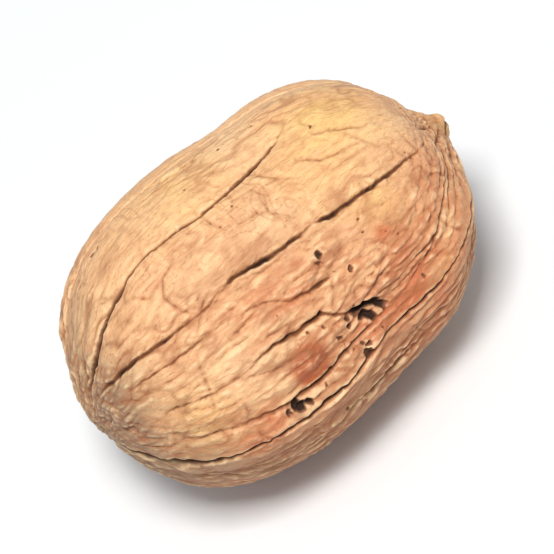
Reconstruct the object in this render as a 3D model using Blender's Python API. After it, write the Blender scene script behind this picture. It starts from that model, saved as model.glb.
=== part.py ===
"""A whole walnut in its closed shell, dried and lying on one cheek.

The frame: +X runs along the nut from base to tip, the seam between its two halves lies level, and +Z
points out of the upper cheek. The origin is on the surface that the nut lies on, under its middle.

The shell is one grown body. It starts as a smooth ovoid. Swells, furrows, wrinkles, veins, pits and the
raised seam are then carved along the ovoid's own normals. Lengths are in millimetres until the last step.
A place on the shell is a lean, in radians from the tip, and a turn round the long axis, which is 0 at the
seam on +Y and a quarter turn on top.
"""

import math

import bmesh
import bpy
import numpy as np
from mathutils import Vector, kdtree, noise

MM = 0.001

# The smooth ovoid: its two ends, its girth, how blunt it is, how straight-sided the tip, and the slight
# waist, which leaves out the underside that it lies on
TIP_LENGTH = 23.4
BASE_LENGTH = 23.3
HALF_WIDTH = 16.75
HALF_THICKNESS = 16.25
BASE_BLUNTNESS = 3.0
BASE_LEAN = 0.8
TIP_BLUNTNESS = 2.45
TIP_LEAN = 1.0
TIP_CONE = 3.9
TIP_ROUNDING = 7.0
WAIST_DEPTH = 0.05
WAIST_STATION = 5.5
WAIST_REACH = 5.5
UNDERSIDE_SHARPNESS = 6
NIB_HEIGHT = 0.8
NIB_RADIUS = 1.1
SCAR_DEPTH = 0.5
SCAR_RADIUS = 2.4

# The seam: a raised rim on each half, a crease between them and a shallow shoulder beside them
RIM_HEIGHT = 0.42
RIM_RISE_AT_TIP = 0.3
RIM_RISE_FROM = 4.0
RIM_RISE_TO = 20.0
RIM_HALF_WIDTH = 1.7
SHOULDER_DEPTH = 0.22
SHOULDER_OUT = 3.5
CREASE_DEPTH = 0.5
CREASE_WIDTH = 0.42
GAPE_STATION = -20.0
GAPE_REACH = 2.6
GAPE_EXTRA = 0.9
SEAM_WANDER = 0.3
SEAM_WANDER_REACH = 3.0

# Furrows, each a soft valley with a narrow slit along its floor
VALLEY_DEPTH = 0.36
VALLEY_WIDTH = 1.7
SLIT_DEPTH = 0.55
SLIT_WIDTH = 0.42

# Branches and wrinkles, which have a smaller valley, and veins, which are only fine grooves
FOLD_DEPTH = 0.3
FOLD_WIDTH = 0.75
VEIN_DEPTH = 0.24
VEIN_WIDTH = 0.5

# Swells of the whole surface, as (height, wavelength), drawn out along the nut
SWELLS = ((0.34, 9.0), (0.16, 4.0))
SWELL_STRETCH = 0.45

# How lines are sampled and carved
LINE_STEP = 0.16
VALLEY_STEPS = 3
FOLD_STEPS = 2
CARVE_REACH = 2.1

# How a line that isn't drawn by hand strays, swells and fades as it goes
SWAY_WAVES = (1.1, 2.3, 4.7)
BEAT_WAVE = 2.9
BEAT_SHARE = 0.38
POLE_GAP = 0.06

# Furrows of the upper cheek and its two sides, as (station along X, turn in degrees, strength)
LONG_FURROWS = (
    ((9, 87, 0.3), (7.7, 89, 0.6), (4.3, 92, 1.0), (0.4, 95, 0.8), (-3.1, 96, 0.7), (-6.2, 94, 0.7),
     (-9.4, 92, 0.5), (-12.3, 91, 0.5), (-14.3, 91, 0.8), (-18.5, 92, 0.9), (-20.2, 93, 1.0),
     (-21.8, 89, 0.8), (-22.6, 82, 0.3)),
    ((21, 132, 0.4), (18.4, 133, 0.7), (16.4, 132, 0.9), (11.7, 130, 1.0), (6.3, 128, 1.1), (4.5, 126, 0.3),
     (2.6, 126, 0.8), (-1.3, 125, 1.2), (-5.1, 122, 0.9), (-6.8, 122, 0.4), (-8.9, 124, 0.6),
     (-11.2, 123, 0.5), (-14.5, 121, 0.6), (-17.2, 118, 0.6), (-20.4, 112, 0.9), (-21.8, 105, 0.5)),
    ((2.8, 145, 0.7), (-0.1, 144, 0.8), (-2.1, 142, 0.6), (-4.5, 136, 0.5), (-6.6, 134, 0.4),
     (-10.1, 131, 0.4), (-15, 130, 0.5), (-20, 124, 0.5)),
    ((5, 165, 0.4), (3.2, 163, 0.9), (1.3, 160, 0.6), (-0.7, 153, 0.8), (-3.7, 152, 0.9),
     (-6.4, 150, 0.8), (-7.6, 150, 0.6), (-10.9, 151, 0.4), (-14, 150, 0.5), (-19, 145, 0.6)),
    ((20, 148, 0.4), (17, 159, 0.45), (12, 167, 0.5), (6, 173, 0.35), (0, 171, 0.7), (-5, 172, 0.9),
     (-9, 172, 0.7), (-14, 168, 0.4), (-19, 163, 0.5)),
    ((20, 62, 0.5), (14, 57, 0.8), (5, 55, 0.6), (-4, 59, 0.9), (-12, 54, 0.5), (-19, 47, 0.8),
     (-22, 34, 0.4)),
    ((20, 34, 0.6), (12, 29, 0.8), (2, 33, 0.4), (-8, 28, 0.9), (-16, 27, 0.6), (-21, 19, 0.6)),
)

# Veins of the upper cheek that stand out enough to be placed by hand
DRAWN_VEINS = (
    ((9.4, 99, 0.7), (11.1, 104, 1.0), (13.9, 105, 1.0), (16.2, 104, 0.6)),
    ((-7.6, 96, 0.6), (-8.7, 100, 0.9), (-10.2, 104, 0.9), (-10.9, 112, 0.9), (-10.2, 118, 0.6)),
    ((-1.9, 96, 0.6), (-2.0, 105, 0.8), (-0.2, 109, 0.5)),
)

# Pits as (station, turn in degrees, depth, radius), and one low bump with a height in place of a depth
PITS = (
    (3.7, 164, 0.95, 0.85), (4.5, 167, 0.7, 0.65), (2.8, 136, 0.45, 0.55), (4.4, 148, 0.45, 0.5),
    (-0.7, 153, 0.4, 0.5), (0.0, 164, 0.4, 0.5), (1.2, 176, 0.5, 0.7), (-8.0, 176, 0.8, 0.8),
    (-13.0, 62, 0.4, 0.6), (8.0, 36, 0.5, 0.6), (3.5, 72, 0.35, 0.5),
)
BUMP = (-4.5, 164, -0.45, 2.0)

# Furrows of the lower cheek, which walk from base to tip from these turns and leave a pad clear at 270
UNDER_FURROWS = (198, 218, 238, 256, 285, 303, 322, 342)
UNDER_START = -21.0
UNDER_LENGTH = 47.0
UNDER_JITTER = 3.0
UNDER_STRENGTH = 1.1
FURROW_WANDER = 0.3

# What grows by rule all over: its number, its usual length and, where it slants, its heading
BRANCHES_EACH = 3
BRANCH_LENGTH = 8.0
BRANCH_HEADING = 0.75
BRANCH_TURN_IN = 0.3
BRANCH_WANDER = 0.35
BRANCH_STRENGTH = 0.6
TIP_WRINKLES = 22
BASE_WRINKLES = 26
WRINKLE_LENGTH = 8.0
WRINKLE_START = 0.14
WRINKLE_WANDER = 0.3
WRINKLE_STRENGTH = 0.75
CROSS_VEINS = 80
VEIN_LENGTH = 5.0
VEIN_WANDER = 0.5
VEIN_TURN_IN = 0.05
VEIN_STRENGTH = 0.8

# How high the seam plane lies over the surface: less than the thickness there, so a flat spot is cut
SEAM_PLANE_HEIGHT = 15.95
CUTTER_SIDE = 60.0

GRID_CELLS = 100
TRIANGLES = 11600
SEED = 7
SHELL_COLOUR = (0.62, 0.36, 0.17, 1.0)
SHELL_ROUGHNESS = 0.6


def clear_scene():
    for thing in list(bpy.data.objects):
        bpy.data.objects.remove(thing)


def smooth_shell(lean, turn):
    """Points of the smooth ovoid, with its nib, its leaning ends and the scar where the stalk was."""
    along = np.cos(lean)
    tip_side = along > 0
    bluntness = np.where(tip_side, TIP_BLUNTNESS, BASE_BLUNTNESS)
    dome = np.sqrt(np.clip(1 - np.abs(along) ** bluntness, 1e-9, 1))
    cone = np.clip(TIP_CONE * (1 - along), 1e-6, None)
    tip = (dome**-TIP_ROUNDING + cone**-TIP_ROUNDING) ** (-1 / TIP_ROUNDING)
    x = along * np.where(tip_side, TIP_LENGTH, BASE_LENGTH)
    waist = WAIST_DEPTH * np.exp(-(((x - WAIST_STATION) / WAIST_REACH) ** 2))
    underside = np.clip(-np.sin(turn), 0, 1) ** UNDERSIDE_SHARPNESS
    girth = np.where(tip_side, tip, dome) * (1 - waist * (1 - underside))
    y = HALF_WIDTH * girth * np.cos(turn)
    z = HALF_THICKNESS * girth * np.sin(turn)
    out = np.hypot(y, z)
    nib = NIB_HEIGHT * np.exp(-((out / NIB_RADIUS) ** 2))
    scar = SCAR_DEPTH * np.exp(-((out / SCAR_RADIUS) ** 2))
    x = x + np.where(tip_side, nib, scar)
    y = y + np.where(tip_side, TIP_LEAN * along**3, -BASE_LEAN * along**2)
    return np.stack([x, y, z], axis=-1)


def lean_of(station):
    """The lean at a station along X."""
    reach = TIP_LENGTH if station > 0 else BASE_LENGTH
    return math.acos(max(-0.999, min(0.999, station / reach)))


def spot(station, degrees):
    """One point of the smooth ovoid, in a list of one."""
    return smooth_shell(np.array([lean_of(station)]), np.array([math.radians(degrees)]))


def read(items, name):
    values = np.empty(len(items) * 3)
    items.foreach_get(name, values)
    return values.reshape(-1, 3)


def write(mesh, points):
    mesh.vertices.foreach_set("co", points.ravel())
    mesh.update()


def ball(cells):
    """A cube's grid blown up into a ball, and the direction of each vertex. One edge loop lies level."""
    grid = bmesh.new()
    bmesh.ops.create_cube(grid, size=2)
    bmesh.ops.subdivide_edges(grid, edges=grid.edges[:], cuts=cells - 1, use_grid_fill=True)
    mesh = bpy.data.meshes.new("walnut")
    grid.to_mesh(mesh)
    grid.free()
    bulged = np.tan(read(mesh.vertices, "co") * math.pi / 4)
    return mesh, bulged / np.linalg.norm(bulged, axis=1, keepdims=True)


def drawn_line(stops):
    """A line through (station, turn, strength) stops, as points and the strength at each."""
    lean = [lean_of(station) for station, _, _ in stops]
    turn = [math.radians(degrees) for _, degrees, _ in stops]
    rough = smooth_shell(np.array(lean), np.array(turn))
    run = np.concatenate([[0], np.cumsum(np.linalg.norm(np.diff(rough, axis=0), axis=1))])
    at = np.arange(0, run[-1], LINE_STEP)
    points = smooth_shell(np.interp(at, run, lean), np.interp(at, run, turn))
    return points, np.interp(at, run, [strength for _, _, strength in stops])


def walked_line(rng, lean, turn, heading, length, wander, turn_in, strength):
    """A line that walks over the ovoid. Heading 0 is straight for the tip, and it turns in towards that."""
    phases = rng.uniform(0, 2 * math.pi, len(SWAY_WAVES))
    steps = int(length / LINE_STEP)
    leans, turns, strengths = [], [], []
    for step in range(steps):
        gone = step * LINE_STEP
        sway = sum(math.sin(gone / wave + phase) for wave, phase in zip(SWAY_WAVES, phases))
        course = heading * math.exp(-gone * turn_in) + wander * sway / len(SWAY_WAVES)
        meridian = math.hypot(TIP_LENGTH * math.sin(lean), HALF_WIDTH * math.cos(lean))
        lean -= LINE_STEP * math.cos(course) / meridian
        turn += LINE_STEP * math.sin(course) / (HALF_WIDTH * max(math.sin(lean), POLE_GAP))
        if not POLE_GAP < lean < math.pi - POLE_GAP:
            break
        fade = math.sqrt(math.sin(math.pi * (step + 1) / (steps + 1)))
        beat = 1 - BEAT_SHARE * (1 - math.sin(gone / BEAT_WAVE + phases[0]))
        leans.append(lean)
        turns.append(turn)
        strengths.append(strength * fade * beat)
    return smooth_shell(np.array(leans), np.array(turns)), np.array(strengths)


def furrow_lines(rng):
    """The long furrows: drawn on the upper cheek, walked on the lower one."""
    lines = [drawn_line(stops) for stops in LONG_FURROWS]
    for degrees in UNDER_FURROWS:
        turn = math.radians(degrees + rng.uniform(-UNDER_JITTER, UNDER_JITTER))
        lean = lean_of(UNDER_START)
        lines.append(walked_line(rng, lean, turn, 0, UNDER_LENGTH, FURROW_WANDER, 0, UNDER_STRENGTH))
    return lines


def branch_lines(rng, furrows):
    """Side branches that leave a furrow at a slant and swing round to run along it."""
    lines = []
    for points, _ in furrows:
        for _ in range(BRANCHES_EACH):
            x, y, z = points[rng.integers(len(points) // 8, len(points))]
            turn = math.atan2(z / HALF_THICKNESS, y / HALF_WIDTH)
            heading = rng.choice((-1, 1)) * BRANCH_HEADING * rng.uniform(0.6, 1.4)
            length = BRANCH_LENGTH * rng.uniform(0.6, 1.3)
            start = lean_of(x)
            lines.append(
                walked_line(rng, start, turn, heading, length, BRANCH_WANDER, BRANCH_TURN_IN, BRANCH_STRENGTH)
            )
    return lines


def wrinkle_lines(rng):
    """Short wrinkles that fan out from the tip and from the base."""
    lines = []
    for count, at_tip in ((TIP_WRINKLES, True), (BASE_WRINKLES, False)):
        for index in range(count):
            turn = 2 * math.pi * (index + rng.uniform(0.1, 0.9)) / count
            length = WRINKLE_LENGTH * rng.uniform(0.55, 1.3)
            start = WRINKLE_START + length / HALF_WIDTH if at_tip else math.pi - WRINKLE_START
            lines.append(walked_line(rng, start, turn, 0, length, WRINKLE_WANDER, 0, WRINKLE_STRENGTH))
    return lines


def vein_lines(rng):
    """Fine veins that run across the cheeks and join the furrows into a net."""
    lines = [drawn_line(stops) for stops in DRAWN_VEINS]
    for _ in range(CROSS_VEINS):
        lean = math.acos(rng.uniform(-0.9, 0.9))
        turn = rng.uniform(0, 2 * math.pi)
        heading = rng.choice((-1, 1)) * rng.uniform(0.7, 1.4)
        length = VEIN_LENGTH * rng.uniform(0.5, 1.4)
        lines.append(walked_line(rng, lean, turn, heading, length, VEIN_WANDER, VEIN_TURN_IN, VEIN_STRENGTH))
    return lines


def carve(tree, count, points, depths, width):
    """Depth of a rounded groove along points. Where two cuts overlap, the deeper one counts."""
    cut = np.zeros(count)
    for point, depth in zip(points, depths):
        for _, index, distance in tree.find_range(point, CARVE_REACH * width):
            cut[index] = max(cut[index], depth * math.exp(-((distance / width) ** 2)))
    return cut


def carve_lines(tree, count, lines, depth, width, every=1):
    points = np.concatenate([line[::every] for line, _ in lines])
    depths = np.concatenate([strength[::every] for _, strength in lines]) * depth
    return carve(tree, count, points, depths, width)


def line_relief(tree, count):
    """How deep the furrows, branches, wrinkles and veins go at each vertex."""
    rng = np.random.default_rng(SEED)
    furrows = furrow_lines(rng)
    folds = branch_lines(rng, furrows) + wrinkle_lines(rng)
    veins = vein_lines(rng)
    valleys = carve_lines(tree, count, furrows, VALLEY_DEPTH, VALLEY_WIDTH, VALLEY_STEPS)
    creases = carve_lines(tree, count, folds, FOLD_DEPTH, FOLD_WIDTH, FOLD_STEPS)
    slits = carve_lines(tree, count, furrows + folds, SLIT_DEPTH, SLIT_WIDTH)
    net = carve_lines(tree, count, veins, VEIN_DEPTH, VEIN_WIDTH, FOLD_STEPS)
    return np.maximum(valleys, creases) + np.maximum(slits, net)


def pit_relief(tree, count):
    """How deep the pits go, less the height of the bump."""
    depth = np.zeros(count)
    for station, degrees, deep, radius in (*PITS, BUMP):
        depth += math.copysign(1, deep) * carve(tree, count, spot(station, degrees), [abs(deep)], radius)
    return depth


def swell(points):
    """Broad uneven swells, drawn out along the nut."""
    height = np.zeros(len(points))
    for tall, wave in SWELLS:
        places = points * (SWELL_STRETCH, 1, 1) / wave
        height += tall * np.array([noise.noise(Vector(place)) for place in places])
    return height


def seam_relief(points):
    """The seam's rims, less its shoulders and its crease, which gapes near the base."""
    x = points[:, 0]
    out = np.abs(points[:, 2])
    towards_tip = np.clip((x - RIM_RISE_FROM) / (RIM_RISE_TO - RIM_RISE_FROM), 0, 1)
    rim = (RIM_HEIGHT + RIM_RISE_AT_TIP * towards_tip) * np.exp(-((out / RIM_HALF_WIDTH) ** 2))
    shoulder = SHOULDER_DEPTH * np.exp(-((out - SHOULDER_OUT) ** 2))
    gape = 1 + GAPE_EXTRA * np.exp(-(((x - GAPE_STATION) / GAPE_REACH) ** 2))
    crease = CREASE_DEPTH * gape * np.exp(-((out / (CREASE_WIDTH * gape)) ** 2))
    return rim - shoulder - crease


def stray_seam(points):
    """Lifts and lowers the seam a little along the nut, with what is near it, but not at the two poles."""
    x, y, z = points.T
    phase = np.where(y > 0, 1.7, 0.0)
    sway = np.sin(x / 5.3 + phase) + 0.6 * np.sin(x / 2.1 + 2 * phase)
    off_axis = np.clip(1.6 * np.abs(y) / HALF_WIDTH, 0, 1)
    shift = SEAM_WANDER * sway * off_axis * np.exp(-((z / SEAM_WANDER_REACH) ** 2))
    return np.stack([x, y, z + shift], axis=-1)


def walnut_mesh():
    """The carved shell as a fine mesh, centred over the origin, with its seam plane at its height."""
    mesh, directions = ball(GRID_CELLS)
    lean = np.arccos(np.clip(directions[:, 0], -1, 1))
    turn = np.arctan2(directions[:, 2], directions[:, 1])
    smooth = smooth_shell(lean, turn)
    write(mesh, smooth)
    normals = read(mesh.vertices, "normal")
    tree = kdtree.KDTree(len(smooth))
    for index, point in enumerate(smooth):
        tree.insert(point, index)
    tree.balance()
    height = swell(smooth) + seam_relief(smooth)
    height -= line_relief(tree, len(smooth)) + pit_relief(tree, len(smooth))
    carved = stray_seam(smooth + normals * height[:, None])
    carved[:, :2] -= (carved[:, :2].max(axis=0) + carved[:, :2].min(axis=0)) / 2
    carved[:, 2] += SEAM_PLANE_HEIGHT
    write(mesh, carved * MM)
    return mesh


def shell_material():
    material = bpy.data.materials.new("walnut shell")
    material.use_nodes = True
    surface = material.node_tree.nodes["Principled BSDF"]
    surface.inputs["Base Color"].default_value = SHELL_COLOUR
    surface.inputs["Roughness"].default_value = SHELL_ROUGHNESS
    return material


def resting_surface():
    """A cutter whose top is the surface that the nut lies on."""
    side = CUTTER_SIDE * MM
    bpy.ops.mesh.primitive_cube_add(size=side, location=(0, 0, -side / 2))
    cutter = bpy.context.object
    cutter.name = "resting_surface"
    cutter.hide_render = True
    cutter.display_type = "WIRE"
    return cutter


def main():
    clear_scene()
    mesh = walnut_mesh()
    mesh.materials.append(shell_material())
    mesh.shade_smooth()
    walnut = bpy.data.objects.new("walnut", mesh)
    bpy.context.scene.collection.objects.link(walnut)
    thin = walnut.modifiers.new("fewer facets", "DECIMATE")
    thin.ratio = TRIANGLES / (2 * len(mesh.polygons))
    flat = walnut.modifiers.new("resting spot", "BOOLEAN")
    flat.operation = "DIFFERENCE"
    flat.object = resting_surface()


main()
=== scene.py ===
"""A dried walnut in its closed shell, lying on one cheek on a pale floor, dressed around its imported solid.

The frame is the solid's own: +X runs from the nut's base to its tip, the seam between the two halves
lies level, and +Z points out of the upper cheek. The shell's lengths are in millimetres until its mesh
is placed.
"""

import math

import bmesh
import bpy
import numpy as np
from mathutils import Matrix, Quaternion, Vector, kdtree, noise


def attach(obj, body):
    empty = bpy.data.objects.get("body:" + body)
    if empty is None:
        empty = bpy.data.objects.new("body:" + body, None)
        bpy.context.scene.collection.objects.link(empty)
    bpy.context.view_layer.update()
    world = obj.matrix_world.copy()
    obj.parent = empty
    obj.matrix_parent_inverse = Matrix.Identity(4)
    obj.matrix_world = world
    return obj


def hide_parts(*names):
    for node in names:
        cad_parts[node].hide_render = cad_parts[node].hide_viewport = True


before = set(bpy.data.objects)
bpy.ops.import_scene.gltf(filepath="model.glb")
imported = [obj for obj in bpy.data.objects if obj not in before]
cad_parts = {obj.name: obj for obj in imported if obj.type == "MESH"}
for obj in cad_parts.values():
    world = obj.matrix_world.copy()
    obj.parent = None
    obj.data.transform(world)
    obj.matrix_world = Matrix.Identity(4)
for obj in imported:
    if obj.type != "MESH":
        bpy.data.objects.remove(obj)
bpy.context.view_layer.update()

# The shell's smooth form. A walnut's shell is one hard woody body in two halves, which grew together as a
# blunt-based ovoid with a pointed tip. A place on it is a lean, in radians from the tip, and a turn round
# the long axis, which is 0 at the seam on +Y and a quarter turn on top.
TIP_LENGTH = 23.4
BASE_LENGTH = 23.3
HALF_WIDTH = 16.75
HALF_THICKNESS = 16.25
BASE_BLUNTNESS = 3.0
BASE_LEAN = 0.8
TIP_BLUNTNESS = 2.45
TIP_LEAN = 1.0
TIP_CONE = 3.9
TIP_ROUNDING = 7.0
WAIST_DEPTH = 0.05
WAIST_STATION = 5.5
WAIST_REACH = 5.5
UNDERSIDE_SHARPNESS = 6
NIB_HEIGHT = 0.8
NIB_RADIUS = 1.1
SCAR_DEPTH = 0.5
SCAR_RADIUS = 2.4
GRID_CELLS = 220
POLE_LIMIT = 0.999


def smooth_shell(lean, turn):
    """Points of the smooth ovoid, with its nib, its leaning ends and the scar where the stalk was."""
    along = np.cos(lean)
    tip_side = along > 0
    bluntness = np.where(tip_side, TIP_BLUNTNESS, BASE_BLUNTNESS)
    dome = np.sqrt(np.clip(1 - np.abs(along) ** bluntness, 1e-9, 1))
    cone = np.clip(TIP_CONE * (1 - along), 1e-6, None)
    tip = (dome**-TIP_ROUNDING + cone**-TIP_ROUNDING) ** (-1 / TIP_ROUNDING)
    x = along * np.where(tip_side, TIP_LENGTH, BASE_LENGTH)
    waist = WAIST_DEPTH * np.exp(-(((x - WAIST_STATION) / WAIST_REACH) ** 2))
    underside = np.clip(-np.sin(turn), 0, 1) ** UNDERSIDE_SHARPNESS
    girth = np.where(tip_side, tip, dome) * (1 - waist * (1 - underside))
    y = HALF_WIDTH * girth * np.cos(turn)
    z = HALF_THICKNESS * girth * np.sin(turn)
    out = np.hypot(y, z)
    nib = NIB_HEIGHT * np.exp(-((out / NIB_RADIUS) ** 2))
    scar = SCAR_DEPTH * np.exp(-((out / SCAR_RADIUS) ** 2))
    x = x + np.where(tip_side, nib, scar)
    y = y + np.where(tip_side, TIP_LEAN * along**3, -BASE_LEAN * along**2)
    return np.stack([x, y, z], axis=-1)


def lean_of(station):
    """The lean at a station along X."""
    reach = TIP_LENGTH if station > 0 else BASE_LENGTH
    return math.acos(max(-POLE_LIMIT, min(POLE_LIMIT, station / reach)))


def spot(station, degrees):
    """One point of the smooth ovoid."""
    return smooth_shell(np.array([lean_of(station)]), np.array([math.radians(degrees)]))[0]


def read(items, name):
    """Three numbers from each of a mesh's items."""
    values = np.empty(len(items) * 3)
    items.foreach_get(name, values)
    return values.reshape(-1, 3)


def write(mesh, points):
    """Moves the mesh's vertices to these points."""
    mesh.vertices.foreach_set("co", points.ravel())
    mesh.update()


def ball(cells):
    """A cube's grid blown up into a ball, and the direction of each vertex. One edge loop lies level."""
    grid = bmesh.new()
    bmesh.ops.create_cube(grid, size=2)
    bmesh.ops.subdivide_edges(grid, edges=grid.edges[:], cuts=cells - 1, use_grid_fill=True)
    mesh = bpy.data.meshes.new("walnut_shell")
    grid.to_mesh(mesh)
    grid.free()
    bulged = np.tan(read(mesh.vertices, "co") * math.pi / 4)
    return mesh, bulged / np.linalg.norm(bulged, axis=1, keepdims=True)


shell_mesh, directions = ball(GRID_CELLS)
lean = np.arccos(np.clip(directions[:, 0], -1, 1))
turn = np.arctan2(directions[:, 2], directions[:, 1])
smooth = smooth_shell(lean, turn)
write(shell_mesh, smooth)
outward = read(shell_mesh.vertices, "normal")


# The shell's grain. Its fibres run from base to tip and crowd together at both ends, so the fine relief and
# the colours are laid out in coordinates that do the same.
GRAIN_STRETCH = 0.42
GRAIN_CROWDING = 0.45
LEAST_GIRTH = 0.02
WANDER_SEEDS = (3.1, 17.4, 40.9)
RAGGED = ((0.15, 1.3), (0.06, 0.5))


def grain_of(points):
    """Coordinates in millimetres, drawn out along the fibres and tighter across them at the two ends."""
    x, y, z = points.T
    girth = np.clip(np.hypot(y / HALF_WIDTH, z / HALF_THICKNESS), LEAST_GIRTH, None)
    crowd = girth ** (GRAIN_CROWDING - 1)
    return np.stack([x * GRAIN_STRETCH, y * crowd, z * crowd], axis=-1)


def ripple(places, seed=0.0):
    """Smooth noise between about -1 and 1 at each place. Each seed gives a pattern of its own."""
    return np.array([noise.noise(place) for place in (places + seed).tolist()])


def wander(places, seed):
    """Three ripples at each place, as a small shift."""
    return np.stack([ripple(places, seed + offset) for offset in WANDER_SEEDS], axis=-1)


def strayed(shifts, seed):
    """The smooth shell's points, shifted by wandering amounts given as (far, wave)."""
    return smooth + sum(far * wander(smooth / wave, seed) for far, wave in shifts)


def uneven(mean, share, wave, seed):
    """A factor that rises and falls over the shell about its mean."""
    return mean + share * ripple(smooth / wave, seed)


def groove(values, width):
    """1 where the values cross 0, falling away at that width to either side."""
    return np.exp(-((values / width) ** 2))


grain = grain_of(smooth)
ragged = strayed(RAGGED, 5.0)
tree = kdtree.KDTree(len(ragged))
for index, point in enumerate(ragged):
    tree.insert(point, index)
tree.balance()


# The furrows, branches, wrinkles and veins. Vessels of the green husk pressed them into the growing shell.
# Each is a line on the smooth form. The upper cheek's are drawn as (station along X, turn in degrees,
# strength), and the rest walk over the shell by a seeded rule, as they do in the solid.
SEED = 7
LINE_STEP = 0.16
CARVE_REACH = 2.1
CUT_SPACING = 1.6
SWAY_WAVES = (1.1, 2.3, 4.7)
BEAT_WAVE = 2.9
BEAT_SHARE = 0.38
POLE_GAP = 0.06
LONG_FURROWS = (
    ((9, 87, 0.3), (7.7, 89, 0.6), (4.3, 92, 1.0), (0.4, 95, 0.8), (-3.1, 96, 0.7), (-6.2, 94, 0.7),
     (-9.4, 92, 0.5), (-12.3, 91, 0.6), (-14.3, 91, 1.2), (-18.5, 92, 1.45), (-20.2, 93, 1.45),
     (-21.8, 89, 1.2), (-22.6, 82, 0.5)),
    ((21, 132, 0.3), (18.4, 133, 0.35), (16.4, 132, 0.6), (13.6, 131, 1.0), (6.3, 128, 1.1),
     (4.5, 126, 0.3), (2.6, 126, 0.8), (-1.3, 125, 1.2), (-5.1, 122, 0.9), (-6.8, 122, 0.4),
     (-8.9, 124, 0.6), (-11.2, 123, 0.5), (-14.5, 121, 0.8), (-17.2, 118, 0.8), (-20.4, 112, 1.15),
     (-21.8, 105, 0.7)),
    ((2.8, 145, 0.7), (-0.1, 144, 0.8), (-2.1, 142, 0.6), (-4.5, 136, 0.5), (-6.6, 134, 0.4),
     (-10.1, 131, 0.4), (-15, 130, 0.5), (-20, 124, 0.5)),
    ((5, 165, 0.4), (3.2, 163, 0.9), (1.3, 160, 0.6), (-0.7, 153, 0.8), (-3.7, 152, 0.9),
     (-6.4, 150, 0.8), (-7.6, 150, 0.6), (-10.9, 151, 0.4), (-14, 150, 0.5), (-19, 145, 0.6)),
    ((20, 148, 0.4), (17, 159, 0.45), (12, 167, 0.5), (6, 173, 0.35), (0, 171, 0.7), (-5, 172, 0.9),
     (-9, 172, 0.7), (-14, 168, 0.4), (-19, 163, 0.5)),
    ((20, 62, 0.5), (14, 57, 0.8), (5, 55, 0.6), (-4, 59, 0.9), (-12, 54, 0.5), (-19, 47, 0.8),
     (-22, 34, 0.4)),
    ((20, 34, 0.6), (12, 29, 0.8), (2, 33, 0.4), (-8, 28, 0.9), (-16, 27, 0.6), (-21, 19, 0.6)),
)
DRAWN_VEINS = (
    ((7.8, 103, 0.7), (9.6, 109, 1.0), (11.2, 111, 1.0), (13.8, 113, 0.6)),
    ((10.9, 98, 0.6), (13.7, 104, 1.0), (15.5, 108, 0.5)),
    ((9.0, 116, 0.4), (11.5, 116, 0.8), (14.0, 118, 0.4)),
    ((-8.0, 99, 0.5), (-8.7, 103, 0.9), (-10.4, 104, 1.0), (-11.5, 110, 1.0), (-11.2, 117, 1.0),
     (-10.3, 123, 0.8)),
    ((-10.4, 104, 0.8), (-12.6, 105, 0.9), (-13.8, 99, 0.5)),
    ((-3.3, 93, 0.5), (-3.1, 102, 0.8), (-2.5, 108, 0.6)),
    ((2.2, 99, 0.5), (3.0, 106, 0.8), (2.0, 112, 0.9), (3.2, 118, 0.6)),
    ((-0.8, 109, 0.6), (1.0, 110, 0.9), (2.0, 112, 0.5)),
)
UNDER_FURROWS = (198, 218, 238, 256, 285, 303, 322, 342)
UNDER_START = -21.0
UNDER_LENGTH = 47.0
UNDER_JITTER = 3.0
UNDER_STRENGTH = 1.1
FURROW_WANDER = 0.3
BRANCHES_EACH = 3
BRANCH_LENGTH = 8.0
BRANCH_LENGTH_SPREAD = (0.6, 1.3)
BRANCH_HEADING = 0.75
BRANCH_HEADING_SPREAD = (0.6, 1.4)
BRANCH_TURN_IN = 0.3
BRANCH_WANDER = 0.35
BRANCH_STRENGTH = 0.6
TIP_WRINKLES = 22
BASE_WRINKLES = 26
WRINKLE_LENGTH = 8.0
WRINKLE_LENGTH_SPREAD = (0.55, 1.3)
WRINKLE_JITTER = (0.1, 0.9)
WRINKLE_START = 0.14
WRINKLE_WANDER = 0.3
WRINKLE_STRENGTH = 0.75
CROSS_VEINS = 80
VEIN_LENGTH = 5.0
VEIN_LENGTH_SPREAD = (0.5, 1.4)
VEIN_HEADINGS = (0.7, 1.4)
VEINS_ALONG = 0.9
VEIN_WANDER = 0.5
VEIN_TURN_IN = 0.05
VEIN_STRENGTH = 0.8
VALLEY_DEPTH = 0.36
VALLEY_WIDTH = 1.7
FOLD_DEPTH = 0.3
FOLD_WIDTH = 0.75
SLIT_DEPTH = 0.75
SLIT_WIDTH = 0.24
SLIT_TAPER = 1.8
TAPER_BLUNTNESS = 0.6
SLIT_FAINT = 0.12
SLIT_BEADS = (0.85, 0.35, 1.7, 21.0)
GAPING_FROM = 0.6
GAPING_SHARE = 1.6
GAPING_WIDTH = 0.32
FOLD_SLIT_DEPTH = 0.5
VEIN_DEPTH = 0.2
VEIN_WIDTH = 0.26


def drawn_line(stops):
    """A line through (station, turn, strength) stops, as points and the strength at each."""
    lean = [lean_of(station) for station, _, _ in stops]
    turn = [math.radians(degrees) for _, degrees, _ in stops]
    rough = smooth_shell(np.array(lean), np.array(turn))
    run = np.concatenate([[0], np.cumsum(np.linalg.norm(np.diff(rough, axis=0), axis=1))])
    at = np.arange(0, run[-1], LINE_STEP)
    points = smooth_shell(np.interp(at, run, lean), np.interp(at, run, turn))
    return points, np.interp(at, run, [strength for _, _, strength in stops])


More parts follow.
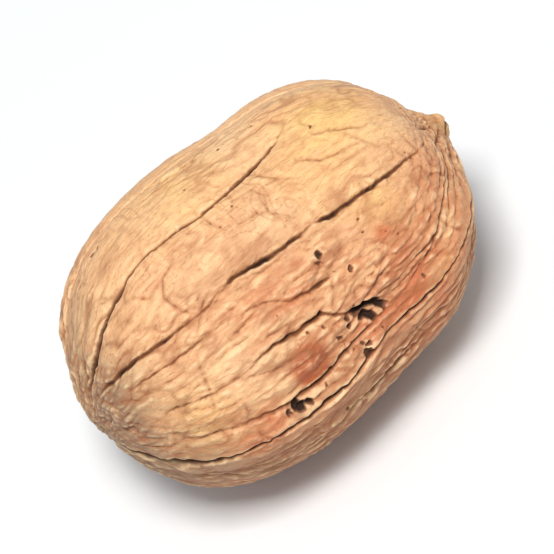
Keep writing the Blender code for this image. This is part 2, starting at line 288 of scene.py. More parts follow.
def walked_line(rng, lean, turn, heading, length, wander, turn_in, strength):
    """A line that walks over the ovoid. Heading 0 is straight for the tip, and it turns in towards that."""
    phases = rng.uniform(0, 2 * math.pi, len(SWAY_WAVES))
    steps = int(length / LINE_STEP)
    leans, turns, strengths = [], [], []
    for step in range(steps):
        gone = step * LINE_STEP
        sway = sum(math.sin(gone / wave + phase) for wave, phase in zip(SWAY_WAVES, phases))
        course = heading * math.exp(-gone * turn_in) + wander * sway / len(SWAY_WAVES)
        meridian = math.hypot(TIP_LENGTH * math.sin(lean), HALF_WIDTH * math.cos(lean))
        lean -= LINE_STEP * math.cos(course) / meridian
        turn += LINE_STEP * math.sin(course) / (HALF_WIDTH * max(math.sin(lean), POLE_GAP))
        if not POLE_GAP < lean < math.pi - POLE_GAP:
            break
        fade = math.sqrt(math.sin(math.pi * (step + 1) / (steps + 1)))
        beat = 1 - BEAT_SHARE * (1 - math.sin(gone / BEAT_WAVE + phases[0]))
        leans.append(lean)
        turns.append(turn)
        strengths.append(strength * fade * beat)
    return smooth_shell(np.array(leans), np.array(turns)), np.array(strengths)


def furrow_lines(rng):
    """The long furrows: drawn on the upper cheek, walked on the lower one."""
    lines = [drawn_line(stops) for stops in LONG_FURROWS]
    for degrees in UNDER_FURROWS:
        turn = math.radians(degrees + rng.uniform(-UNDER_JITTER, UNDER_JITTER))
        lean = lean_of(UNDER_START)
        lines.append(walked_line(rng, lean, turn, 0, UNDER_LENGTH, FURROW_WANDER, 0, UNDER_STRENGTH))
    return lines


def branch_lines(rng, furrows):
    """Side branches that leave a furrow at a slant and swing round to run along it."""
    lines = []
    for points, _ in furrows:
        for _ in range(BRANCHES_EACH):
            x, y, z = points[rng.integers(len(points) // 8, len(points))]
            turn = math.atan2(z / HALF_THICKNESS, y / HALF_WIDTH)
            heading = rng.choice((-1, 1)) * BRANCH_HEADING * rng.uniform(*BRANCH_HEADING_SPREAD)
            length = BRANCH_LENGTH * rng.uniform(*BRANCH_LENGTH_SPREAD)
            branch = walked_line(
                rng, lean_of(x), turn, heading, length, BRANCH_WANDER, BRANCH_TURN_IN, BRANCH_STRENGTH
            )
            lines.append(branch)
    return lines


def wrinkle_lines(rng):
    """Short wrinkles that fan out from the tip and from the base."""
    lines = []
    for count, at_tip in ((TIP_WRINKLES, True), (BASE_WRINKLES, False)):
        for index in range(count):
            turn = 2 * math.pi * (index + rng.uniform(*WRINKLE_JITTER)) / count
            length = WRINKLE_LENGTH * rng.uniform(*WRINKLE_LENGTH_SPREAD)
            start = WRINKLE_START + length / HALF_WIDTH if at_tip else math.pi - WRINKLE_START
            lines.append(walked_line(rng, start, turn, 0, length, WRINKLE_WANDER, 0, WRINKLE_STRENGTH))
    return lines


def vein_lines(rng):
    """Fine veins that run across the cheeks and join the furrows into a net."""
    lines = [drawn_line(stops) for stops in DRAWN_VEINS]
    for _ in range(CROSS_VEINS):
        lean = math.acos(rng.uniform(-VEINS_ALONG, VEINS_ALONG))
        turn = rng.uniform(0, 2 * math.pi)
        heading = rng.choice((-1, 1)) * rng.uniform(*VEIN_HEADINGS)
        length = VEIN_LENGTH * rng.uniform(*VEIN_LENGTH_SPREAD)
        vein = walked_line(rng, lean, turn, heading, length, VEIN_WANDER, VEIN_TURN_IN, VEIN_STRENGTH)
        lines.append(vein)
    return lines


def carve(points, depths, width):
    """Depth at each vertex of a groove along points. Where two cuts overlap, the deeper one counts."""
    cut = [0.0] * len(smooth)
    for point, depth in zip(points, depths):
        for _, index, distance in tree.find_range(point, CARVE_REACH * width):
            cut[index] = max(cut[index], depth * math.exp(-((distance / width) ** 2)))
    return np.array(cut)


def carve_lines(lines, depth, width):
    """One groove along each line, from cuts a little closer together than they are wide."""
    every = max(1, round(width / LINE_STEP / CUT_SPACING))
    points = np.concatenate([line[::every] for line, _ in lines])
    depths = np.concatenate([strength[::every] for _, strength in lines]) * depth
    return carve(points, depths, width)


def tapered(line):
    """The line with its faint stretches left out and its strength dying away towards both ends."""
    points, strength = line
    run = np.arange(len(points)) * LINE_STEP
    to_end = np.minimum(run, run[-1] - run)
    clear = np.clip(strength - SLIT_FAINT, 0, None) / (1 - SLIT_FAINT)
    return points, clear * np.clip(to_end / SLIT_TAPER, 0, 1) ** TAPER_BLUNTNESS


def gaping(line):
    """What the line's strength has over the usual, where its slit opens wider."""
    points, strength = line
    return points, np.clip(strength - GAPING_FROM, 0, None) * GAPING_SHARE


rng = np.random.default_rng(SEED)
furrows = furrow_lines(rng)
folds = branch_lines(rng, furrows) + wrinkle_lines(rng)
veins = vein_lines(rng)
valleys = carve_lines(furrows, VALLEY_DEPTH, VALLEY_WIDTH)
creases = carve_lines(folds, FOLD_DEPTH, FOLD_WIDTH)
fine_furrows = [tapered(line) for line in furrows]
slits = carve_lines(fine_furrows, SLIT_DEPTH, SLIT_WIDTH)
gapes = carve_lines([gaping(line) for line in fine_furrows], SLIT_DEPTH, GAPING_WIDTH)
fold_slits = carve_lines(folds, FOLD_SLIT_DEPTH, SLIT_WIDTH)
vein_cuts = carve_lines(veins, VEIN_DEPTH, VEIN_WIDTH)
all_slits = uneven(*SLIT_BEADS) * np.maximum(np.maximum(slits, gapes), fold_slits)
line_depth = np.maximum(valleys, creases) + np.maximum(all_slits, vein_cuts)


# The pits, the arched hollows and the one low bump, which a knot of husk left in the shell. A pit is given
# as (station, turn in degrees, depth, radius), and a hollow as a line of stops. Small pores are strewn
# between them, and all have ragged outlines.
PITS = (
    (-0.7, 153, 0.4, 0.4), (2.9, 136, 0.45, 0.4), (2.3, 138, 0.35, 0.3), (4.4, 148, 0.3, 0.26),
    (1.0, 162, 0.4, 0.3), (0.8, 164.5, 0.4, 0.32), (-0.8, 165, 0.35, 0.28), (3.3, 176, 0.25, 0.2),
    (1.3, 176, 0.4, 0.32), (0.7, 178, 0.5, 0.36), (0.9, 174, 0.35, 0.3), (-3.3, 172, 0.25, 0.24),
    (-7.0, 176, 0.5, 0.4), (-7.9, 176, 0.8, 0.5), (-8.4, 174, 0.7, 0.45), (-9.2, 175, 0.4, 0.3),
    (-13.0, 62, 0.4, 0.4), (-12.2, 63, 0.3, 0.3), (8.0, 36, 0.5, 0.42), (8.7, 34.5, 0.35, 0.3),
    (3.5, 72, 0.25, 0.26), (-9, 228, 0.4, 0.4), (7, 312, 0.5, 0.45), (7.8, 314, 0.3, 0.3),
)
HOLLOWS = (
    ((1.8, 162, 0.3), (2.5, 162.6, 0.8), (3.3, 163.2, 1.2), (4.0, 164.3, 1.2), (4.6, 166.6, 1.0),
     (5.0, 169.5, 0.7), (5.0, 171, 0.2)),
    ((2.4, 165.5, 0.6), (2.9, 166, 1.1), (3.2, 168, 1.0), (3.4, 170.6, 0.6)),
    ((12.2, 322, 0.4), (13.0, 320, 1.0), (13.6, 316, 0.9), (13.0, 313, 0.4)),
)
HOLLOW_DEPTH = 0.75
HOLLOW_WIDTH = 0.42
PIT_STEEPNESS = 4
PIT_RAGGED = ((0.34, 0.9), (0.13, 0.4))
BUMP_PLACE = (-4.5, 164, 2.0)
BUMP_HEIGHT = 0.45
ROUGH_SIDES = (
    (2.0, 156, 9.5, 1.0), (-9.0, 148, 8.0, 0.8), (0.0, 210, 9.0, 0.6), (-10.0, 205, 8.0, 0.7),
    (10.0, 215, 7.0, 0.6), (13.5, 157, 5.0, 0.8),
)
ROUGH_SIDE_PORES = (22, (-6, 12), (134, 176))
PORES = (46, (-21, 21), (0, 360))
PORE_SPREAD = (0.5, 1.5)
PORE_DEPTH = 0.18
PORE_RADIUS = 0.17


def near(station, degrees, radius):
    """A soft round patch, 1 at its middle."""
    return np.exp(-((np.linalg.norm(smooth - spot(station, degrees), axis=1) / radius) ** 2))


def strewn_pores(rng, count, stations, turns):
    """Depth of small pores strewn over a stretch of the shell."""
    sizes = rng.uniform(*PORE_SPREAD, count)
    pores = [
        sunk(rng.uniform(*stations), rng.uniform(*turns), PORE_DEPTH * size, PORE_RADIUS * size)
        for size in sizes
    ]
    return np.max(pores, axis=0)


def dent(point, depth, radius):
    """Depth of one dent with a flat floor, steep sides and a ragged outline."""
    away = np.linalg.norm(pit_places - point, axis=1)
    return depth * np.exp(-((away / radius) ** PIT_STEEPNESS))


def sunk(station, degrees, depth, radius):
    """Depth of one dent at a station and a turn."""
    return dent(spot(station, degrees), depth, radius)


def hollow(stops):
    """Depth of an arched hollow, as dents in a row."""
    points, strengths = drawn_line(stops)
    return np.max([dent(*each, HOLLOW_WIDTH) for each in zip(points, strengths * HOLLOW_DEPTH)], axis=0)


pit_places = strayed(PIT_RAGGED, 90.0)
pits = np.max([sunk(*pit) for pit in PITS] + [hollow(stops) for stops in HOLLOWS], axis=0)
on_bump = near(*BUMP_PLACE)
bump = BUMP_HEIGHT * on_bump
side_pores = strewn_pores(rng, *ROUGH_SIDE_PORES)
pores = np.maximum(side_pores, strewn_pores(rng, *PORES)) * (1 - on_bump)


# The seam, where the two halves of the shell meet. Each half has a raised rim, with a crease between them
# that gapes near the base. Beside it the shell is drawn into low wavy ridges, strongest towards the tip.
RIM_HEIGHT = 0.42
RIM_RISE_AT_TIP = 0.3
RIM_RISE_FROM = 4.0
RIM_RISE_TO = 20.0
RIM_HALF_WIDTH = 1.7
SHOULDER_DEPTH = 0.22
SHOULDER_OUT = 3.5
SHOULDER_WIDTH = 1.0
CREASE_DEPTH = 0.6
CREASE_WIDTH = 0.24
CREASE_RAGGED = 0.2
CREASE_RAGGED_WAVE = 0.9
CREASE_BEADS = (0.8, 0.5, 2.5, 66.0)
GAPE_STATION = -20.5
GAPE_REACH = 3.0
GAPE_EXTRA = 1.4
GAPE_BEADS = (0.85, 0.6, 2.2, 63.0)
SEAM_WANDER = 0.3
SEAM_WANDER_REACH = 3.0
SEAM_WAVES = (5.3, 2.1)
SHORT_WAVE_SHARE = 0.6
FAR_SIDE_PHASE = 1.7
SEAM_STEADYING = 1.6
RIDGE_HEIGHT = 0.38
RIDGE_GAP = 1.05
RIDGES_OUT = 4.2
RIDGES_SPREAD = 3.4
RIDGES_FROM = -4.0
RIDGES_FULL = 5.0
LEAST_RIDGES = 0.4
RIDGES_UNEVEN = (0.8, 1.0, 5.0, 88.0)
LEAST_UNEVEN_RIDGE = 0.25
RIDGE_SWAY = 0.75
RIDGE_SWAY_WAVES = (3.6, 4.0, 2.0)
RIDGE_WRIGGLE = 0.26


def seam_wave(points):
    """How far the seam strays from its plane, up or down, but not at the two poles."""
    x, y, _ = points.T
    phase = np.where(y > 0, FAR_SIDE_PHASE, 0.0)
    long_wave, short_wave = SEAM_WAVES
    sway = np.sin(x / long_wave + phase) + SHORT_WAVE_SHARE * np.sin(x / short_wave + 2 * phase)
    return SEAM_WANDER * sway * np.clip(SEAM_STEADYING * np.abs(y) / HALF_WIDTH, 0, 1)


station = smooth[:, 0]
level = smooth[:, 2]
towards_tip = np.clip((station - RIM_RISE_FROM) / (RIM_RISE_TO - RIM_RISE_FROM), 0, 1)
rim = (RIM_HEIGHT + RIM_RISE_AT_TIP * towards_tip) * groove(level, RIM_HALF_WIDTH)
shoulder = SHOULDER_DEPTH * groove(np.abs(level) - SHOULDER_OUT, SHOULDER_WIDTH)
gape = (1 + GAPE_EXTRA * groove(station - GAPE_STATION, GAPE_REACH)) * uneven(*GAPE_BEADS)
crease_line = level + CREASE_RAGGED * ripple(ragged / CREASE_RAGGED_WAVE, 60.0)
seam_cut = groove(crease_line, CREASE_WIDTH * gape)
crease = CREASE_DEPTH * gape * seam_cut * uneven(*CREASE_BEADS)
tip_share = np.clip((station - RIDGES_FROM) / (RIDGES_FULL - RIDGES_FROM), LEAST_RIDGES, 1)
ridge_share = groove(np.abs(level) - RIDGES_OUT, RIDGES_SPREAD) * tip_share
ridge_share *= np.clip(uneven(*RIDGES_UNEVEN), LEAST_UNEVEN_RIDGE, 1)
ridge_line = np.abs(level) + RIDGE_SWAY * ripple(smooth / RIDGE_SWAY_WAVES, 81.0)
ridge_line += RIDGE_WRIGGLE * ripple(smooth, 83.0)
ridge_sides = np.sin(math.pi * ridge_line / RIDGE_GAP)
ridges = ridge_share * np.abs(ridge_sides)


# The fine relief. Swells, a net of shallow grooves, fibres and dimples cover the whole shell. The
# rough sides are lumpy, the base is drawn into swooping folds, and hair cracks cross the cheeks.
SWELLS = ((0.34, 9.0), (0.16, 4.0))
SWELL_STRETCH = 0.45
NET_WAVE = 3.1
NET_WIDTH = 0.085
NET_DEPTH = 0.11
NET_STRAY = 0.35
NET_STRAY_WAVE = 2.2
NET_UNEVEN = (0.5, 1.1, 6.0, 23.0)
SMALL_NET_SHARE = 0.7
SMALL_NET_FINER = 1.9
SMALL_NET_WIDER = 1.3
FIBRES = ((0.06, 1.4), (0.045, 0.7))
DIMPLES = ((0.05, 1.0), (0.035, 0.5))
LUMP_HEIGHT = 0.46
LUMP_SIZE = (5.2, 1.4, 1.4)
LUMP_CREVICE = 0.12
SMALL_LUMPS = 0.55
SMALL_CREVICES = 0.6
BROKEN = (0.55, 1.3, 2.6, 91.0)
LEAST_SHARE = 0.1
BASE_FOLD_HEIGHT = 0.36
BASE_FOLD_SIZE = (2.3, 1.2, 1.2)
BASE_FOLD_STRAY = 0.9
BASE_FOLD_STRAY_WAVE = 4.0
BASE_SEAM_CLEAR = 0.9
BASE_FROM = -7.0
BASE_TO = -17.0
CRACK_SIZE = (1.1, 4.2, 4.2)
CRACK_DEPTH = 0.06
CRACK_WIDTH = 0.07
CRACK_STRAY = ((0.7, 2.0),)
CRACK_PLACES = ((2.0, 106, 5.5, 1.0), (-7.0, 103, 4.0, 0.6), (-8.0, 65, 5.0, 0.7), (8.0, 250, 6.0, 0.8))


def patches(places):
    """Soft round patches, each with its share, joined into one value at each vertex."""
    return np.clip(sum(share * near(*place) for *place, share in places), 0, 1)


swells = sum(tall * ripple(smooth * (SWELL_STRETCH, 1, 1) / wave) for tall, wave in SWELLS)
fibres = sum(tall * ripple(grain / wave, 31.0 + wave) for tall, wave in FIBRES)
dimples = sum(tall * ripple(ragged / wave, 47.0 + wave) for tall, wave in DIMPLES)
net_share = np.clip(uneven(*NET_UNEVEN), LEAST_SHARE, 1)
net_places = grain / NET_WAVE + NET_STRAY * wander(smooth / NET_STRAY_WAVE, 9.0)
small_net = groove(ripple(SMALL_NET_FINER * net_places, 6.0), SMALL_NET_WIDER * NET_WIDTH)
net = net_share * np.maximum(groove(ripple(net_places, 2.0), NET_WIDTH), SMALL_NET_SHARE * small_net)
rough_side = patches(ROUGH_SIDES)
lump_sides = ripple(ragged / LUMP_SIZE, 12.0)
small_lump_sides = ripple(ragged / LUMP_SIZE / SMALL_LUMPS, 37.0)
lumps = rough_side * (np.abs(lump_sides) + SMALL_LUMPS * np.abs(small_lump_sides))
broken = np.clip(uneven(*BROKEN), LEAST_SHARE, 1)
lump_crevices = broken * rough_side * np.maximum(
    groove(lump_sides, LUMP_CREVICE), SMALL_CREVICES * groove(small_lump_sides, LUMP_CREVICE)
)
base_share = np.clip((station - BASE_FROM) / (BASE_TO - BASE_FROM), 0, 1)
base_share *= 1 - groove(level, BASE_SEAM_CLEAR)
fold_places = grain + BASE_FOLD_STRAY * wander(smooth / BASE_FOLD_STRAY_WAVE, 70.0)
fold_sides = ripple(fold_places / BASE_FOLD_SIZE, 54.0)
base_folds = base_share * np.abs(fold_sides)
base_crevices = broken * base_share * groove(fold_sides, LUMP_CREVICE)
crack_sides = ripple(strayed(CRACK_STRAY, 15.0) / CRACK_SIZE, 8.0)
cracks = patches(CRACK_PLACES) * groove(crack_sides, CRACK_WIDTH)
height = swells + rim - shoulder - crease + RIDGE_HEIGHT * ridges + bump
height += fibres + dimples + LUMP_HEIGHT * lumps + BASE_FOLD_HEIGHT * base_folds
height -= NET_DEPTH * net + CRACK_DEPTH * cracks + line_depth + pits + pores


def hollowness(mesh, values, rounds):
    """How far each vertex lies below the mean of those around it, which widens with each round."""
    ends = np.empty(len(mesh.edges) * 2, dtype=np.int64)
    mesh.edges.foreach_get("vertices", ends)
    first, second = ends.reshape(-1, 2).T
    number = np.bincount(ends, minlength=len(values))
    mean = values
    for _ in range(rounds):
        total = np.bincount(first, mean[second], len(values))
        total += np.bincount(second, mean[first], len(values))
        mean = (mean + total / number) / 2
    return mean - values


def keep(mesh, name, values):
    """Stores one number at each vertex for the material to read."""
    mesh.attributes.new(name, "FLOAT", "POINT").data.foreach_set("value", values.astype(np.float32))


# The stains, as (station, turn in degrees, radius, share). The husk dyed the shell: red-brown on the
# bump, rusty between the ridges, straw yellow towards the tip and ash brown round the base. The
# underside is darkened below the seam with painted shade. Rubbing has left the tops of the cheeks pale.
RUST_PATCHES = (
    (-9.5, 172, 2.4, 0.7), (1.5, 133, 2.6, 0.5), (-1.5, 143, 2.6, 0.5), (10.0, 165, 4.0, 0.7),
    (3.0, 173, 3.2, 0.8), (17.0, 150, 4.0, 0.6), (9.3, 146, 1.1, 0.8), (-5.0, 133, 3.0, 0.4),
    (-8.0, 20, 4.0, 0.5), (6.0, 300, 5.0, 0.5), (-10.0, 250, 4.0, 0.5), (1.0, 108, 4.0, 0.12),
    (9.0, 184, 6.0, 1.0), (-13.0, 172, 2.6, 0.8), (-8.0, 137, 3.0, 0.4), (5.0, 154, 2.8, 0.45),
)
RED_PATCHES = (
    (-4.4, 163, 2.1, 1.0), (-5.2, 167, 1.6, 0.7), (4.5, 176, 2.4, 0.3), (9.5, 178, 3.0, 0.3),
    (-19.5, 93, 1.4, 0.25), (12.0, 330, 1.6, 0.6),
)
STRAW_PATCHES = (
    (13.5, 92, 4.5, 1.0), (8.0, 108, 4.0, 0.5), (11.0, 136, 2.5, 0.6), (-3.0, 75, 6.0, 0.5),
    (12.0, 178, 2.0, 0.6), (-16.0, 158, 3.5, 0.5), (10.0, 262, 6.0, 0.6), (-6.0, 330, 5.0, 0.5),
    (4.2, 170, 0.8, 0.9), (23.4, 90, 2.2, 0.4),
)
ASH_PATCHES = (
    (-21.5, 125, 5.0, 1.0), (-22.5, 200, 5.5, 1.0), (-18.0, 178, 4.5, 0.7), (-22.0, 60, 4.0, 0.6),
    (-22.5, 300, 5.0, 0.8), (-12.0, 196, 4.0, 0.4), (-18.7, 66, 4.0, 0.35),
)
WORN_PATCHES = (
    (4.0, 73, 4.0, 1.0), (1.5, 112, 3.0, 0.9), (-10.6, 147, 3.5, 0.9), (-6.0, 78, 4.0, 0.6),
    (5.0, 50, 4.0, 0.7), (-4.0, 270, 6.0, 0.6),
)
UNDERSIDE_SHADE_REACH = 4.5
RIM_STAIN_REACH = 1.8
RIDGE_CREVICE = (0.7, 0.35)
RIDGE_RUST = (0.8, 0.5)
FINE_ROUNDS = 8
WIDE_ROUNDS = 100
MM = 0.001
SEAM_PLANE_HEIGHT = 15.95
SHELL_TRIANGLES = 194000


def between_ridges(share, width):
    """A share along the valleys between the seam's ridges, for their rust stain and their painted shade."""
    return share * ridge_share * groove(ridge_sides, width)


carved = smooth + outward * height[:, None]
carved[:, 2] += seam_wave(smooth) * groove(level, SEAM_WANDER_REACH)
carved[:, :2] -= (carved[:, :2].max(axis=0) + carved[:, :2].min(axis=0)) / 2
carved[:, 2] = np.maximum(carved[:, 2] + SEAM_PLANE_HEIGHT, 0)
write(shell_mesh, carved * MM)
# The crevices between lumps, base folds and ridges, which the material darkens as painted shade.
crevices = np.maximum(np.maximum(lump_crevices, base_crevices), between_ridges(*RIDGE_CREVICE))
keep(shell_mesh, "slit", all_slits / SLIT_DEPTH)
keep(shell_mesh, "pit", pits + pores)
keep(shell_mesh, "seam_cut", seam_cut)
keep(shell_mesh, "vein", np.maximum(np.maximum(net, cracks), vein_cuts / VEIN_DEPTH))
keep(shell_mesh, "crevice", crevices)
# The hollowness at two widths, for painted shade in hollows and a painted highlight on crests and swells.
keep(shell_mesh, "fine_hollow", hollowness(shell_mesh, height, FINE_ROUNDS))
keep(shell_mesh, "wide_hollow", hollowness(shell_mesh, height, WIDE_ROUNDS))
keep(shell_mesh, "rust", np.maximum(patches(RUST_PATCHES), between_ridges(*RIDGE_RUST)))
keep(shell_mesh, "worn", patches(WORN_PATCHES))
keep(shell_mesh, "red", patches(RED_PATCHES))
keep(shell_mesh, "straw", patches(STRAW_PATCHES))
keep(shell_mesh, "ash", patches(ASH_PATCHES))
keep(shell_mesh, "rim", groove(level, RIM_STAIN_REACH * RIM_HALF_WIDTH))
keep(shell_mesh, "rough_side", np.maximum(rough_side, ridge_share))
# Painted shade: the underside below the seam, darker the lower it lies.
keep(shell_mesh, "underside_shade", np.clip(-level / UNDERSIDE_SHADE_REACH, 0, 1))
fibre_vectors = shell_mesh.attributes.new("grain", "FLOAT_VECTOR", "POINT")
fibre_vectors.data.foreach_set("vector", grain.ravel().astype(np.float32))
shell_mesh.shade_smooth()

full_shell = bpy.data.objects.new("full_shell", shell_mesh)
bpy.context.scene.collection.objects.link(full_shell)
thin = full_shell.modifiers.new("fewer facets", "DECIMATE")
thin.ratio = SHELL_TRIANGLES / (2 * len(shell_mesh.polygons))
thinned = full_shell.evaluated_get(bpy.context.evaluated_depsgraph_get())
shell = bpy.data.objects.new("walnut_shell", bpy.data.meshes.new_from_object(thinned))
bpy.data.objects.remove(full_shell)
bpy.context.scene.collection.objects.link(shell)


# The shell's finish. Dry, bare wood with a faint satin, pale tan on the cheeks. Husk stains the veins brown.
# Slits, pits, crevices and hollows are darkened with painted shade, and crests and swells are lightened
# with painted highlights. Colours are 8-bit screen values.
TAN = (246, 197, 144)
WARM_TAN = (242, 186, 135)
ROUGH_BROWN = (204, 138, 94)
RIM_BROWN = (196, 128, 86)
UNDERSIDE_SHADE = (140, 90, 56)
SWELL_HIGHLIGHT = (250, 212, 162)
HOLLOW_SHADE = (186, 118, 76)
ASH_BROWN = (136, 114, 90)
WORN_PALE = (255, 214, 164)
STRAW = (246, 200, 128)
RUST = (206, 116, 72)
RED_BROWN = (172, 78, 32)
SPECK_BROWN = (204, 136, 92)
CREST_HIGHLIGHT = (252, 218, 170)
FIBRE_BROWN = (194, 126, 84)
DUST_BROWN = (146, 88, 52)
HAIR_BROWN = (190, 116, 76)
VEIN_BROWN = (166, 96, 56)
CREVICE_SHADE = (150, 90, 52)
CREASE_SHADE = (134, 78, 44)
SLIT_SHADE = (112, 66, 36)
SLIT_DEEP_SHADE = (50, 28, 14)
PIT_SHADE = (104, 62, 36)
PIT_DEEP_SHADE = (48, 28, 14)
SEAM_DARK = (78, 44, 25)
LEAST_DULLNESS = 0.47
SPECULAR = 0.38
GRAIN_RELIEF = 0.00022
MIX_SHARE = 0
MIX_UNDER = 6
MIX_OVER = 7
MIX_COLOUR = 2


def paint(tone):
    """A colour as the shader takes it."""
    shares = np.array(tone) / 255
    linear = np.where(shares <= 0.04045, shares / 12.92, ((shares + 0.055) / 1.055) ** 2.4)
    return (*linear.tolist(), 1.0)


class Wire:
    """One output in a material's nodes. Sums and products of two of them add the Math node they need."""

    def __init__(self, tree, socket=None):
        self.tree = tree
        self.socket = socket

    def node(self, kind, settings=None, inputs=None, output=0):
        """Adds a node, with its settings set first and then its inputs, and returns one of its outputs."""
        made = self.tree.nodes.new("ShaderNode" + kind)
        for name, value in (settings or {}).items():
            setattr(made, name, value)
        for name, value in (inputs or {}).items():
            if isinstance(value, Wire):
                self.tree.links.new(value.socket, made.inputs[name])
            else:
                made.inputs[name].default_value = value
        return Wire(self.tree, made.outputs[output])

    def maths(self, operation, *values):
        """Adds a Math node that takes these values in order."""
        return self.node("Math", {"operation": operation}, dict(enumerate(values)))

    def __add__(self, other):
        return self.maths("ADD", self, other)

    def __sub__(self, other):
        return self.maths("SUBTRACT", self, other)

    def __rsub__(self, other):
        return self.maths("SUBTRACT", other, self)

    def __mul__(self, other):
        return self.maths("MULTIPLY", self, other)

    __radd__ = __add__
    __rmul__ = __mul__

    def between(self, low, high):
        """0 where this is below low, 1 above high, and a smooth step between them."""
        ends = {"Value": self, "From Min": low, "From Max": high}
        return self.node("MapRange", {"interpolation_type": "SMOOTHSTEP"}, ends)

    def hair(self, width):
        """A hair line where this noise crosses its middle value."""
        return 1 - self.maths("ABSOLUTE", self - 0.5).between(0.0, width)


def coloured(under, over, share):
    """One colour laid over another by a share."""
    inputs = {MIX_SHARE: share, MIX_UNDER: under, MIX_OVER: over}
    return share.node("Mix", {"data_type": "RGBA"}, inputs, MIX_COLOUR)


def mottle(wire, vector, wave, detail=2.0, roughness=0.5, distortion=0.0):
    """Noise between 0 and 1 whose blotches are about half a wave wide, in millimetres."""
    sizes = {"Vector": vector, "Scale": 1 / wave, "Detail": detail, "Roughness": roughness}
    return wire.node("TexNoise", None, {**sizes, "Distortion": distortion})


def shell_material():
    """Bare walnut shell: stains, painted shade and painted highlights from the mesh, mottling along the
    grain.
    """
    material = bpy.data.materials.new("walnut shell")
    material.use_nodes = True
    surface = material.node_tree.nodes["Principled BSDF"]
    wire = Wire(material.node_tree)

    def stored(name, output="Fac"):
        """A value kept on the mesh."""
        return wire.node("Attribute", {"attribute_name": name}, None, output)

    along = stored("grain", "Vector")
    broad = mottle(wire, along, 5.0)
    blotch = mottle(wire, along, 1.7, 3.0, 0.6)
    speck = mottle(wire, along, 0.5, 3.0, 0.65)
    dust = mottle(wire, along, 0.22, 2.0, 0.6)
    hairs = mottle(wire, along, 2.6, 2.0, 0.5, 0.7).hair(0.02) * blotch.between(0.35, 0.6)
    fine_hairs = mottle(wire, along, 1.1, 2.0, 0.5, 0.5).hair(0.025) * broad.between(0.35, 0.6)
    drawn_out = wire.node("VectorMath", {"operation": "MULTIPLY"}, {0: along, 1: (0.35, 1.0, 1.0)})
    fibre = mottle(wire, drawn_out, 0.5, 3.0, 0.65)
    slit = stored("slit")
    pit = stored("pit")
    seam_cut = stored("seam_cut")
    fine = stored("fine_hollow")
    wide = stored("wide_hollow")

    layers = (
        (WARM_TAN, broad.between(0.38, 0.62)),
        (ROUGH_BROWN, stored("rough_side") * blotch.between(0.36, 0.6) * 0.75),
        (RIM_BROWN, stored("rim") * broad.between(0.3, 0.6) * 0.6),
        # Painted shade on the underside below the seam.
        (UNDERSIDE_SHADE, stored("underside_shade") * blotch.between(0.05, 0.5) * 0.8),
        # Painted highlight on the broad swells.
        (SWELL_HIGHLIGHT, (0.0 - wide).between(0.0, 0.2) * 0.45),
        # Painted shade in the broad hollows.
        (HOLLOW_SHADE, wide.between(0.05, 0.34) * 0.58),
        (ASH_BROWN, stored("ash") * blotch.between(0.1, 0.5) * 0.9),
        (WORN_PALE, stored("worn") * blotch.between(0.1, 0.5) * 0.6),
        (STRAW, stored("straw") * blotch.between(0.2, 0.55)),
        (RUST, stored("rust") * blotch.between(0.25, 0.6)),
        (RED_BROWN, (stored("red") * (0.6 + 0.7 * speck)).between(0.0, 0.7) * 0.95),
        (SPECK_BROWN, speck.between(0.48, 0.66) * 0.28),
        # Painted highlight on the fine crests.
        (CREST_HIGHLIGHT, (0.0 - fine).between(0.01, 0.08) * 0.5),
        (FIBRE_BROWN, fibre.between(0.5, 0.68) * 0.34),
        (DUST_BROWN, dust.between(0.62, 0.74) * 0.5),
        (HAIR_BROWN, (hairs + fine_hairs * 0.6).between(0.0, 1.0) * 0.25),
        (VEIN_BROWN, stored("vein") * 0.6),
        # Painted shade in the crevices between lumps, folds and ridges.
        (CREVICE_SHADE, stored("crevice") * 0.75),
        # Painted shade in the fine hollows of the relief.
        (CREASE_SHADE, fine.between(0.015, 0.09) * 0.7),
        # Painted shade in the slits and pits, darkest where they lie deepest.
        (SLIT_SHADE, slit.between(0.14, 0.5) * 0.8),
        (SLIT_DEEP_SHADE, slit.between(0.45, 0.9) * blotch.between(0.1, 0.5)),
        (PIT_SHADE, pit.between(0.08, 0.2) * 0.75),
        (PIT_DEEP_SHADE, pit.between(0.2, 0.5)),
        (SEAM_DARK, seam_cut.between(0.2, 0.85) * blotch.between(0.05, 0.5)),
    )
    colour = paint(TAN)
    for tone, share in layers:
        colour = coloured(colour, paint(tone), share)

    dull = LEAST_DULLNESS + 0.2 * blotch + 0.3 * (slit + pit + seam_cut).between(0.1, 0.6)
    relief = 0.6 * speck + 0.35 * dust + 0.6 * fibre - 0.15 * hairs - 0.1 * fine_hairs
    bumped = wire.node("Bump", None, {"Height": relief, "Strength": 1.0, "Distance": GRAIN_RELIEF})
    material.node_tree.links.new(colour.socket, surface.inputs["Base Color"])
    material.node_tree.links.new(dull.socket, surface.inputs["Roughness"])
    material.node_tree.links.new(bumped.socket, surface.inputs["Normal"])
    surface.inputs["Specular IOR Level"].default_value = SPECULAR
    return material


shell.data.materials.append(shell_material())
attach(shell, "root")
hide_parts("walnut")


# The floor: one plain white board, far wider than the view, so that its edges never show. It only
# carries the nut and its soft shadow.
FLOOR_SIDE = 4.0
FLOOR_GREY = (0.84, 0.85, 0.86, 1.0)
FLOOR_DULLNESS = 0.7
FLOOR_SPECULAR = 0.2


def floor_material():
    """Matt white board."""
    material = bpy.data.materials.new("plain white board")
    material.use_nodes = True
    surface = material.node_tree.nodes["Principled BSDF"]
    surface.inputs["Base Color"].default_value = FLOOR_GREY
    surface.inputs["Roughness"].default_value = FLOOR_DULLNESS
    surface.inputs["Specular IOR Level"].default_value = FLOOR_SPECULAR
    return material


bpy.ops.mesh.primitive_plane_add(size=FLOOR_SIDE, location=(0, 0, 0))
floor = bpy.context.object
floor.name = "floor"
floor.data.materials.append(floor_material())


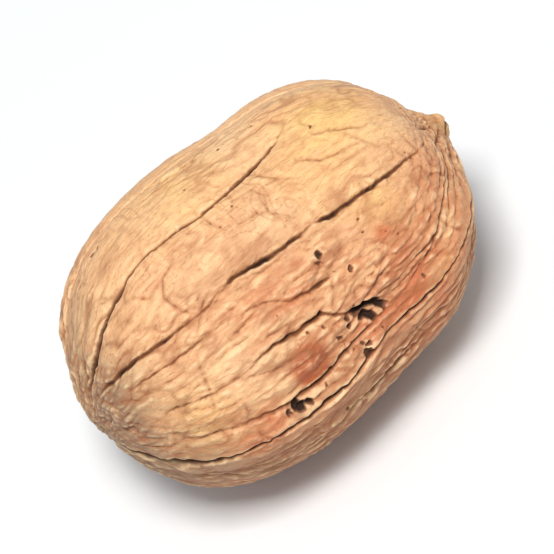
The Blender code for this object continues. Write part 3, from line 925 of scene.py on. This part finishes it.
# The camera: a long lens that looks down on the nut. It is rolled, so that the nut's long axis climbs
# to the right of the picture.
CAMERA_AZIMUTH = math.radians(-12)
CAMERA_ELEVATION = math.radians(47)
LONG_AXIS_IN_PICTURE = math.radians(41)
LENS = 350.0
SENSOR = 36.0
PICTURE_WIDTH = 0.0565
LOOK_AT = Vector((0.0, 0.0, 0.0158))

towards_camera = Vector((
    math.sin(CAMERA_AZIMUTH) * math.cos(CAMERA_ELEVATION),
    -math.cos(CAMERA_AZIMUTH) * math.cos(CAMERA_ELEVATION),
    math.sin(CAMERA_ELEVATION),
))
nut_axis = Vector((1, 0, 0))
nut_axis = (nut_axis - nut_axis.dot(towards_camera) * towards_camera).normalized()
picture_right = Quaternion(towards_camera, -LONG_AXIS_IN_PICTURE) @ nut_axis
picture_up = towards_camera.cross(picture_right)


def looking(place, right, up, back):
    """A transform at a place, with those three axes."""
    turned = Matrix((right, up, back)).transposed().to_4x4()
    return Matrix.Translation(place) @ turned


lens = bpy.data.cameras.new("camera")
lens.lens = LENS
lens.sensor_width = SENSOR
camera = bpy.data.objects.new("camera", lens)
bpy.context.scene.collection.objects.link(camera)
distance = PICTURE_WIDTH * LENS / SENSOR
stand = LOOK_AT + towards_camera * distance
camera.matrix_world = looking(stand, picture_right, picture_up, towards_camera)
bpy.context.scene.camera = camera


# The light: one broad soft lamp high over the camera's shoulder, and a pale, slightly cool room. The way
# to the lamp is given along the picture's right, along its up and towards the camera.
WAY_TO_LAMP = (-0.2, 0.3, 0.93)
LAMP_DISTANCE = 0.8
LAMP_SIDE = 0.24
LAMP_POWER = 6.2
LAMP_COLOUR = (1.0, 0.98, 0.95)
ROOM_COLOUR = (0.86, 0.94, 1.0, 1.0)
ROOM_STRENGTH = 0.46

right, up, back = WAY_TO_LAMP
way = (picture_right * right + picture_up * up + towards_camera * back).normalized()
light = bpy.data.lights.new("key lamp", "AREA")
light.size = LAMP_SIDE
light.energy = LAMP_POWER
light.color = LAMP_COLOUR
lamp = bpy.data.objects.new("key lamp", light)
bpy.context.scene.collection.objects.link(lamp)
across = way.orthogonal().normalized()
lamp.matrix_world = looking(LOOK_AT + way * LAMP_DISTANCE, across, way.cross(across), way)
room = bpy.data.worlds.new("pale room")
room.use_nodes = True
room.node_tree.nodes["Background"].inputs["Color"].default_value = ROOM_COLOUR
room.node_tree.nodes["Background"].inputs["Strength"].default_value = ROOM_STRENGTH
bpy.context.scene.world = room
bpy.context.scene.view_settings.view_transform = "Standard"
